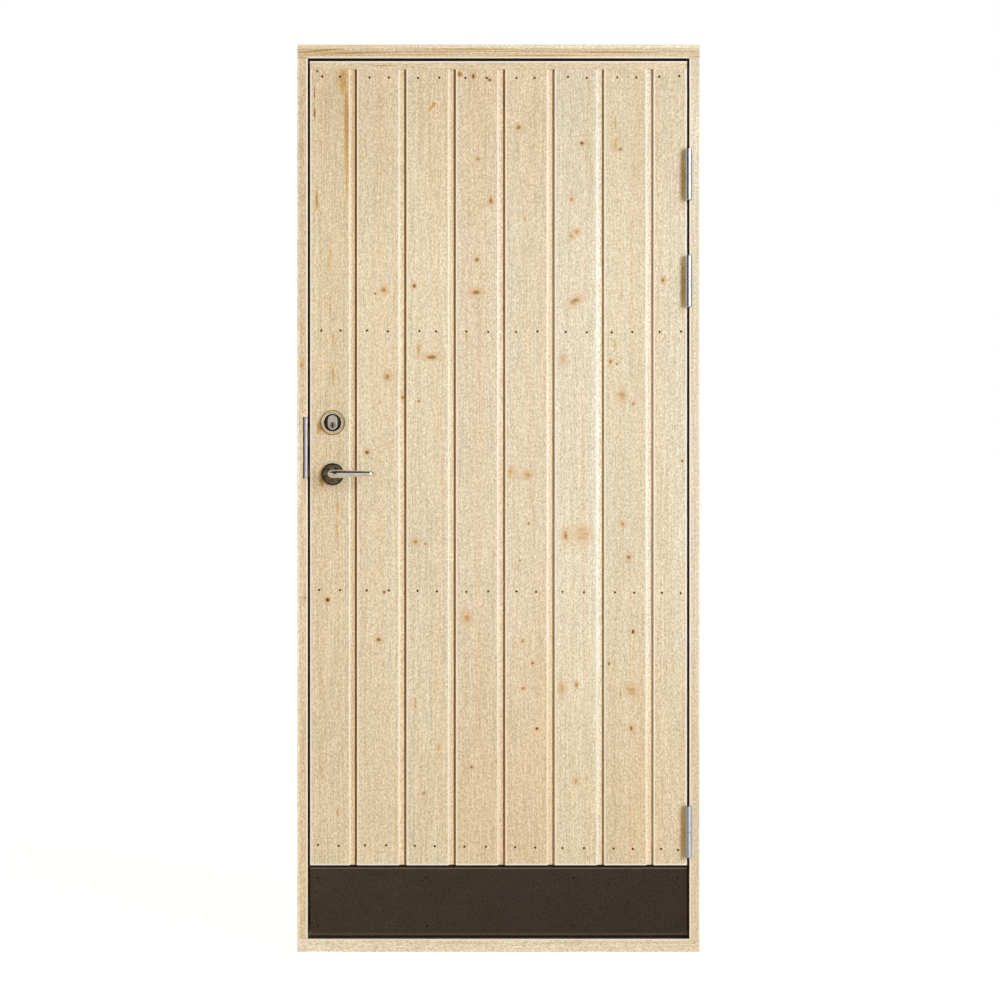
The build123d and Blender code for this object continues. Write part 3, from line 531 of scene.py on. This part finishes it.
def plate_shading(tree, place, shade):
    """Painted highlights on the kick plate's bends, and painted light that makes it lighter on the left than
    on the right.
    """
    parts = axes(tree, place)
    # painted light, lighter on the left
    shade = scaled(tree, shade, remap(tree, parts[0], -0.42, 0.42, 1.22, 0.86, False))
    # painted highlights on the bends
    for start, end, amount in PLATE_BENDS:
        bend_highlight = product(tree, between(tree, parts[2], start, end), amount)
        shade = mix(tree, bend_highlight, shade, linear(112, 97, 82))
    return shade


def coating(name, colour, dusty, roughness, grain=900, height=0.0001, dust=0.3, shape=None, mottle=0.0):
    """Coated sheet, rubber or rusty iron: a fine skin texture under thin dust."""
    material, tree = new_material(name)
    place = add(tree, "ShaderNodeTexCoord").outputs["Object"]
    skin = noise(tree, place, (grain, grain, grain), 2.0)
    cloud = noise(tree, place, (9, 9, 16), 4.0, 0.6)
    specks = noise(tree, place, (260, 260, 260), 1.0)
    shade = mix(tree, remap(tree, cloud, 0.4, 0.75, 0.0, dust), linear(*colour), linear(*dusty))
    shade = mix(tree, remap(tree, specks, 0.62, 0.75, 0.0, dust), shade, linear(*dusty))
    if mottle:
        worn = noise(tree, place, (330, 330, 330), 2.0, 0.6)
        shade = scaled(tree, shade, remap(tree, worn, 0.3, 0.7, 1 - mottle, 1 + mottle, False))
    if shape:
        shade = shape(tree, place, shade)
    rough = remap(tree, cloud, 0.3, 0.7, roughness - 0.05, roughness + 0.08)
    bump = add(tree, "ShaderNodeBump", {"Strength": 0.3, "Distance": height, "Height": skin})
    surface(tree, add(tree, "ShaderNodeBsdfPrincipled", {
        "Base Color": shade, "Roughness": rough, "Specular IOR Level": 0.25,
        "Normal": bump.outputs[0]}).outputs[0])
    return material


# The looks of the pieces
def paint_node(name, material):
    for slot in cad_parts[name].material_slots:
        slot.material = material


# Each board's pith, ring spacing, tone, ring contrast, and how much painted shade darkens and yellows its
# foot
BOARD_LOOKS = {
    1: ((-470, 20), 2.6, (0.937, 0.908, 0.847), 0.34, 0.3),
    2: ((-200, 5), 2.4, (0.956, 0.941, 0.899), 0.26, 0.3),
    3: ((-55, 25), 2.8, (0.948, 0.939, 0.902), 0.24, 0.3),
    4: ((-160, 10), 2.6, (0.937, 0.911, 0.883), 0.24, 1.0),
    5: ((-45, 20), 2.5, (0.944, 0.935, 0.91), 0.28, 1.1),
    6: ((265, 15), 2.9, (0.947, 0.98, 1.0), 0.22, 0.85),
    7: ((190, 10), 2.5, (0.925, 0.925, 0.898), 0.28, 1.0),
    8: ((480, 20), 2.7, (0.926, 0.935, 0.932), 0.24, 1.1),
}

# Tones of each board's tongue, which is the floor of the slot on its right, and of its ledge: painted shade
# in the slots, painted light and shade on the ledges
GROOVES = ((0.675, 0.475, 0.2), (0.654, 0.525, 0.303), (0.704, 0.543, 0.313), (0.763, 0.607, 0.42),
           (0.837, 0.823, 0.71), (0.806, 0.674, 0.413), (0.91, 0.88, 0.837), (0.91, 0.88, 0.837))
LEDGES = ((0.99, 0.95, 0.88), (1.03, 1.0, 0.93), (1.06, 1.03, 0.97), (1.08, 1.07, 1.05), (1.1, 1.1, 1.12),
          (1.12, 1.15, 1.22), (1.12, 1.16, 1.25), (1.12, 1.16, 1.25))


def board_look(number, foot_shade):
    """Where a board gets painted light and shade, as groove_shading and painted_light_marks read it."""
    left = -LEAF_EDGE_X if number == 1 else SECOND_BOARD_X + BOARD_PITCH * (number - 2)
    # painted highlights along the board's foot and left edge, and along the last board's right edge
    arrises = [(2, BOARD_FOOT_Z, 1, 0), (0, left, 1, 0)]
    if number == len(BOARD_LOOKS):
        arrises.append((0, LEAF_EDGE_X, -1, 0))
    # painted shade, darker and yellower towards the foot and darker towards the top
    foot = (1 - 0.035 * foot_shade, 1 - 0.1 * foot_shade, 1 - 0.19 * foot_shade)
    return {"grooves": (LEDGES[number - 1], GROOVES[number - 1]), "arrises": arrises,
            "light_and_shade_spans": [(2, 950, 250, foot), (2, 1450, 1950, (0.92, 0.885, 0.85))]}


def hinge_shadows():
    """Painted brown shadows on the last board beside the hinges, drawn as streaks."""
    for place, strength in zip(HINGES, (0.2, 0.33, 0.3)):
        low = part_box(f"hinge_frame_half_{place}")[0][2] / MM
        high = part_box(f"hinge_leaf_half_{place}")[1][2] / MM
        yield (404, (low + high) / 2 - 5, 6.5, 62, strength)


# the painted shadows beside the hinges join the last board's streaks
STREAKS[8] += list(hinge_shadows())
for number, (pith, spacing, tone, contrast, foot_shade) in BOARD_LOOKS.items():
    stains = [(x, z, *NAIL_STAIN) for row in NAILS for x, z in row[2 * number - 2:2 * number]]
    paint_node(f"board_{number}", wood(
        f"board_{number}_pine", pith, number, tone, spacing, contrast, knots=KNOTS.get(number, ()),
        streaks=STREAKS.get(number, []) + stains, look=board_look(number, foot_shade)))

STRIKE_CUT_X, STRIKE_CUT_Y, STRIKE_CUT_Z = (-428.8, -418), (-45.5, 9), (1037.8, 1173.7)


def strike_cut_shade(tree, place, colour):
    """Painted shade, nearly black, on the wood in the cut beside the strike plate."""
    x, y, z = axes(tree, place)
    inside = product(tree, between(tree, z, *STRIKE_CUT_Z, 0.0002), between(tree, y, *STRIKE_CUT_Y),
                     between(tree, x, *STRIKE_CUT_X, 0.0001))
    return toned(tree, colour, inside, (0.03, 0.02, 0.014))


# Pith, seed, tone, streaks and knots of the pieces whose grain runs upright
UPRIGHTS = {
    "lock_jamb": ((-540, 10), 11, (0.958, 0.93, 0.872),
                  [(-431, 1295, 7, 14, 0.16), (-429, 1365, 5, 12, 0.16), (-431, 1760, 3.5, 90, 0.14)],
                  [(-431, 1287, 3.5, 4.5, 0.4), (-423, 777, 3.5, 5, 0.45)]),
    "hinge_jamb": ((540, 30), 12, (0.944, 0.93, 0.92), [], []),
    "lock_stile": ((-290, 40), 13, (0.94, 0.93, 0.9), [],
                   [(-352, 1712, 9, 12, 0.8), (-380, 1240, 6, 7, 0.6), (-345, 640, 11, 14, 0.75)]),
    "hinge_stile": ((300, 50), 14, (0.95, 0.94, 0.91), [],
                    [(372, 1580, 8, 10, 0.7), (352, 905, 12, 15, 0.8), (388, 470, 6, 8, 0.6)]),
}
# Tones of the painted shade in the jambs' rebates, and in the gaps under the head and over the threshold
REBATE_SHADE, GAP_SHADE = (0.32, 0.24, 0.17), (0.14, 0.11, 0.09)
# Where the other pieces get painted light and shade, as painted_light_marks reads it, and the painted shade
# in the cut in the lock jamb
LOOKS = {
    "lock_jamb": {"light_and_shade_spans": [(2, 900, 1800, (0.853, 0.834, 0.823)), (2, 750, 400, (0.965, 0.93, 0.87)),
                            (0, -434.5, -440, (1.25, 1.32, 1.45))],
                  "arrises": [(0, -JAMB_EDGE_X, -1, 0)], "hidden": [(0, -419, -300, REBATE_SHADE)],
                  "cut": strike_cut_shade},
    "hinge_jamb": {"light_and_shade_spans": [(2, 1400, 1700, (1.0, 1.05, 1.1)), (2, 1800, 1930, (0.9, 0.88, 0.83)),
                             (2, 850, 350, (0.93, 0.875, 0.8)), (0, 437.5, 440, (1.12, 1.15, 1.18))],
                   "arrises": [(0, JAMB_EDGE_X, 1, 0)], "hidden": [(0, 300, 419, REBATE_SHADE)]},
    "frame_head": {"light_and_shade_spans": [(0, -300, 400, (1.02, 1.08, 1.14)), (2, 1979, 1983, (1.22, 1.28, 1.38))],
                   "arrises": [(2, 1960, 1, 418)], "hidden": [(2, 1940, 1960.5, GAP_SHADE)]},
    "threshold": {"light_and_shade_spans": [(0, 100, -420, (1.09, 1.12, 1.17)), (0, 0, 420, (0.95, 0.93, 0.9))],
                  "arrises": [(2, 29.8, -1, 418)], "hidden": [(2, 28.2, 60, GAP_SHADE)]},
    "top_strip": {"arrises": [(2, 1953.9, -1, 0)]},
}
for node, (pith, seed, tone, streaks, knots) in UPRIGHTS.items():
    paint_node(node, wood(f"{node}_pine", pith, seed, tone, streaks=streaks, knots=knots,
                          look=LOOKS.get(node)))

# Pith, seed, tone, ring contrast, streaks and knots of the pieces whose grain runs along x; each mark
# is given as (z, x, half height, half width, ...)
CROSSWISE = {
    "threshold": ((110, 30), 15, (0.99, 0.995, 0.99), 0.3, [], []),
    "frame_head": ((1880, 30), 16, (0.835, 0.79, 0.715), 1.0,
                   [(1977, -390, 2.4, 56, 0.46, -4.9), (1971, -330, 2.2, 100, 0.42, -1.7),
                    (1980, -60, 2, 120, 0.38), (1966, 90, 2, 140, 0.34), (1973, 240, 2.2, 110, 0.38),
                    (1968, -170, 1.6, 90, 0.3)], []),
    "top_strip": ((1880, 0), 17, (0.9, 0.87, 0.81), 0.45, [(1944.4, -251, 1.9, 30, 0.42)], []),
    "top_rail": ((1820, 40), 18, (0.95, 0.94, 0.91), 0.35, [],
                 [(1912, 130, 12, 16, 0.75), (1930, -210, 6, 8, 0.6)]),
    "upper_mid_rail": ((1270, 60), 19, (0.94, 0.93, 0.9), 0.35, [], [(1358, -92, 9, 13, 0.7)]),
    "lower_mid_rail": ((880, 50), 20, (0.95, 0.94, 0.91), 0.35, [],
                       [(806, 205, 10, 14, 0.75), (776, -170, 6, 9, 0.6)]),
    "bottom_rail": ((80, 70), 21, (0.94, 0.93, 0.9), 0.35, [],
                    [(215, 88, 14, 18, 0.8), (120, -240, 9, 13, 0.7)]),
}
for node, (pith, seed, tone, contrast, streaks, knots) in CROSSWISE.items():
    paint_node(node, wood(f"{node}_pine", pith, seed, tone, contrast=contrast, along="X", streaks=streaks,
                          knots=knots, look=LOOKS.get(node)))

zinc = metal("hinge_zinc", (196, 200, 206), 0.15, (300, 300, 60), 0.06, spangle=0.1, dull_foot=0.3)
paint_node("strike_plate", metal("strike_zinc", (246, 238, 248), 0.42, (400, 400, 40)))
paint_node("lock_case", metal("lock_case_zinc", (170, 172, 176), 0.36, (400, 400, 40), spangle=0.2))
nickel = metal("cylinder_nickel", (218, 213, 203), 0.3, (500, 60, 500), shape=key_way)
ring = metal("ring_nickel", (238, 228, 208), 0.18, (500, 60, 500), shape=ring_shading)
steel = metal("rosette_steel", (112, 102, 88), 0.4, (200, 60, 200), spread=0.2, grime=0.3, shape=rosette_rim)
lever = metal("lever_steel", (243, 238, 228), 0.2, (40, 500, 500), spread=0.06)
spindle = metal("spindle_zinc", (170, 172, 176), 0.4)
rubber = coating("seal_rubber", (38, 38, 40), (92, 88, 82), 0.62, 1200, 0.00008)
brown = coating("kick_plate_brown", (56, 45, 33), (84, 70, 54), 0.52, 700, 0.00006, dust=0.14,
                shape=plate_shading, mottle=0.45)
for place in HINGES:
    paint_node(f"hinge_frame_half_{place}", zinc)
    paint_node(f"hinge_leaf_half_{place}", zinc)
for place in ("outer", "inner"):
    paint_node(f"ring_{place}", ring)
    paint_node(f"cylinder_{place}", nickel)
    paint_node(f"rosette_{place}", steel)
    paint_node(f"lever_{place}", lever)
for place in ("threshold", "head", "lock_side", "hinge_side"):
    paint_node(f"seal_{place}", rubber)
paint_node("thumb_turn", nickel)
paint_node("lever_spindle", spindle)
paint_node("kick_plate", brown)


# Nails and screws
CROSS_HALF_WIDTH, CROSS_REACH, CROSS_DEPTH = 0.55, 2.8, 0.9
# Each head is turned from the one before it, so that the crosses don't line up
TURN_BETWEEN_HEADS = 1.9


def head_ring(made, turn, radius, height, around, crossed):
    """One ring of a head's corners, or its middle; the corners in the cross slot are sunk."""
    corners = []
    for step in range(around if radius else 1):
        angle = 2 * math.pi * step / around
        x, y = radius * math.cos(angle), radius * math.sin(angle)
        sunk = crossed and radius < CROSS_REACH and min(abs(x), abs(y)) < CROSS_HALF_WIDTH
        corners.append(made.verts.new(turn @ (Vector((x, y, height - CROSS_DEPTH * sunk)) * MM)))
    return corners


def make_heads(name, places, normal, radii, body, material, crossed=False):
    """Round heads in one mesh; radii are (radius, height) pairs from the middle out, in millimetres."""
    mesh = bpy.data.meshes.new(name)
    made = bmesh.new()
    around = 32 if crossed else 18
    outward = Vector((0, 0, 1)).rotation_difference(Vector(normal)).to_matrix().to_4x4()
    for number, place in enumerate(places):
        spin = Matrix.Rotation(number * TURN_BETWEEN_HEADS, 4, "Z")
        turn = Matrix.Translation(Vector(place) * MM) @ outward @ spin
        rings = [head_ring(made, turn, radius, height, around, crossed) for radius, height in radii]
        middle, first = rings[0][0], rings[1]
        for step in range(around):
            made.faces.new((middle, first[step], first[(step + 1) % around]))
        for inner, outer in zip(rings[1:], rings[2:]):
            for step in range(around):
                after = (step + 1) % around
                made.faces.new((inner[step], outer[step], outer[after], inner[after]))
    made.to_mesh(mesh)
    made.free()
    piece = bpy.data.objects.new(name, mesh)
    scene.collection.objects.link(piece)
    mesh.materials.append(material)
    for face in mesh.polygons:
        face.use_smooth = not crossed
    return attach(piece, body)


iron = coating("nail_iron", (44, 32, 20), (92, 62, 36), 0.5, 1500, 0.0001, dust=0.35)
plate_iron = coating("plate_nail_iron", (24, 19, 14), (60, 44, 30), 0.6, 1500, 0.0001, dust=0.15)
BOARD_NAIL = [(0, 0.22), (0.9, 0.2), (1.8, 0.3), (2.35, 0.22), (2.5, -0.1)]
PLATE_NAIL = [(0, 0.7), (1.2, 0.62), (2.1, 0.4), (2.6, 0.05), (2.7, -0.1)]
SCREW = [(0, 0.1), (0.5, 0.1), (0.9, 0.1), (1.3, 0.1), (1.7, 0.1), (2.1, 0.1), (2.5, 0.1), (3.4, 0.1),
         (3.8, 0.02), (3.9, -0.1)]
TO_FRONT = (0, -1, 0)
make_heads("board_nails", [(x, BOARD_Y, z) for row in NAILS for x, z in row], TO_FRONT, BOARD_NAIL, "leaf",
           iron)
make_heads("plate_nails", [(x, PLATE_Y, z) for x, z in PLATE_NAILS], TO_FRONT, PLATE_NAIL, "leaf",
           plate_iron)

# A hinge flap's height, and its screws as (y, height above its foot)
FLAP_HEIGHT = 54
FLAP_SCREWS = ((-34, 9), (-25, 27), (-34, 45))
LOCK_SCREW_Y, LOCK_SCREW_INSET, LOW_STRIKE_SCREW_Z, STRIKE_SCREW_INSET = -12, 10, 1092, 12


def box_mm(node):
    low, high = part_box(node)
    return [v / MM for v in low], [v / MM for v in high]


frame_screws, leaf_screws = [], []
for place in HINGES:
    frame_foot = box_mm(f"hinge_frame_half_{place}")[0][2]
    leaf_foot = box_mm(f"hinge_leaf_half_{place}")[1][2] - FLAP_HEIGHT
    frame_screws += [(JAMB_EDGE_X, y, frame_foot + rise) for y, rise in FLAP_SCREWS]
    leaf_screws += [(LEAF_EDGE_X, y, leaf_foot + rise) for y, rise in FLAP_SCREWS]
screw_zinc = metal("screw_zinc", (186, 186, 190), 0.3, (300, 300, 300))
make_heads("hinge_screws_frame", frame_screws, (-1, 0, 0), SCREW, "frame", screw_zinc, True)
make_heads("hinge_screws_leaf", leaf_screws, (1, 0, 0), SCREW, "leaf", screw_zinc, True)
case_low, case_high = box_mm("lock_case")
forend_screws = [(case_low[0], LOCK_SCREW_Y, z)
                 for z in (case_low[2] + LOCK_SCREW_INSET, case_high[2] - LOCK_SCREW_INSET)]
make_heads("forend_screws", forend_screws, (-1, 0, 0), SCREW, "leaf", screw_zinc, True)
strike_high = box_mm("strike_plate")[1]
strike_screws = [(strike_high[0], LOCK_SCREW_Y, z)
                 for z in (LOW_STRIKE_SCREW_Z, strike_high[2] - STRIKE_SCREW_INSET)]
make_heads("strike_screws", strike_screws, (1, 0, 0), SCREW, "frame", screw_zinc, True)


# Studio, in metres
FLOOR_REACH = 30
# Each a colour and a strength
FLOOR_GLOW = (0.9, 0.93, 1.0, 1), 0.72
SOFT_FILL = (1.0, 0.84, 0.61, 1), 0.57
# What metal mirrors, as (share of the turn, grey), from behind the object round by its left and its front
AROUND = ((0.0, 0.8), (0.31, 0.8), (0.36, 0.05), (0.465, 0.05), (0.48, 1), (0.52, 1),
          (0.54, 0.08), (0.605, 0.08), (0.62, 1), (0.68, 1), (0.71, 0.12), (1.0, 0.4))
# What it mirrors from level with the object up to the ceiling
UPWARD = [(0.0, (1, 1, 1, 1)), (0.2, (1, 1, 1, 1)), (0.38, (0.06, 0.06, 0.07, 1))]
KEY = {"place": (5.45, -5.75, 2.6), "target": (0, -0.05, 1.0), "width": 2.2, "height": 5.0, "power": 391,
       "colour": (0.886, 1.0, 1.168)}
CAMERA_PLACE, LENS, SHIFT_Y = (0.0033, -5.046, 0.991), 82.09, 0.00015


def seen_directly(tree):
    """1 for rays that come straight from the camera or through glass."""
    path = add(tree, "ShaderNodeLightPath").outputs
    return maths(tree, "MAXIMUM", path["Is Camera Ray"], path["Is Transmission Ray"])


def make_floor():
    r = FLOOR_REACH
    mesh = bpy.data.meshes.new("floor")
    mesh.from_pydata([(-r, -r, 0), (r, -r, 0), (r, r, 0), (-r, r, 0)], [], [(0, 1, 2, 3)])
    floor = bpy.data.objects.new("floor", mesh)
    scene.collection.objects.link(floor)
    material, tree = new_material("floor_pale")
    cloud = noise(tree, add(tree, "ShaderNodeTexCoord").outputs["Object"], (3, 3, 3), 3.0)
    shade = mix(tree, cloud, linear(228, 228, 228), linear(234, 234, 233))
    matt = add(tree, "ShaderNodeBsdfDiffuse", {0: shade}).outputs[0]
    glow = add(tree, "ShaderNodeEmission", dict(enumerate(FLOOR_GLOW))).outputs[0]
    both = add(tree, "ShaderNodeAddShader", {0: matt, 1: glow}).outputs[0]
    surface(tree, add(tree, "ShaderNodeMixShader", {0: seen_directly(tree), 1: matt, 2: both}).outputs[0])
    mesh.materials.append(material)


def mirrored_studio(tree):
    """A studio with dark flags and a dark ceiling, by the direction in which a ray leaves."""
    x, y, z = axes(tree, add(tree, "ShaderNodeTexCoord").outputs["Generated"])
    turn = maths(tree, "ARCTAN2", x, product(tree, y, -1.0))
    around = ramp(tree, remap(tree, turn, -math.pi, math.pi, 0.0, 1.0, False),
                  [(place, (grey, grey, grey, 1)) for place, grey in AROUND])
    return tinted(tree, around, ramp(tree, z, UPWARD))


def make_world():
    """White for the camera, a warm soft fill, and the studio in reflections."""
    world = bpy.data.worlds.new("studio")
    scene.world = world
    world.use_nodes = True
    tree = world.node_tree
    tree.nodes.clear()
    white = add(tree, "ShaderNodeBackground", {0: (1, 1, 1, 1), 1: 1.0}).outputs[0]
    mirrored = add(tree, "ShaderNodeBackground", {0: mirrored_studio(tree), 1: 1.0}).outputs[0]
    fill = add(tree, "ShaderNodeBackground", dict(enumerate(SOFT_FILL))).outputs[0]
    glossy = add(tree, "ShaderNodeLightPath").outputs["Is Glossy Ray"]
    inner = add(tree, "ShaderNodeMixShader", {0: glossy, 1: fill, 2: mirrored}).outputs[0]
    both = add(tree, "ShaderNodeMixShader", {0: seen_directly(tree), 1: inner, 2: white}).outputs[0]
    add(tree, "ShaderNodeOutputWorld", {0: both})


def make_softbox(name, place, target, width, height, power, colour):
    lamp = bpy.data.lights.new(name, "AREA")
    lamp.color = colour
    lamp.shape, lamp.size, lamp.size_y, lamp.energy = "RECTANGLE", width, height, power
    holder = bpy.data.objects.new(name, lamp)
    scene.collection.objects.link(holder)
    holder.location = place
    holder.rotation_euler = (Vector(target) - Vector(place)).to_track_quat("-Z", "Y").to_euler()
    holder.visible_camera = False


def make_camera():
    data = bpy.data.cameras.new("camera")
    data.sensor_width, data.lens, data.shift_y = 36, LENS, SHIFT_Y
    camera = bpy.data.objects.new("camera", data)
    scene.collection.objects.link(camera)
    camera.location = CAMERA_PLACE
    camera.rotation_euler = (math.radians(90), 0, 0)
    scene.camera = camera


make_floor()
make_world()
make_softbox("key", **KEY)
make_camera()
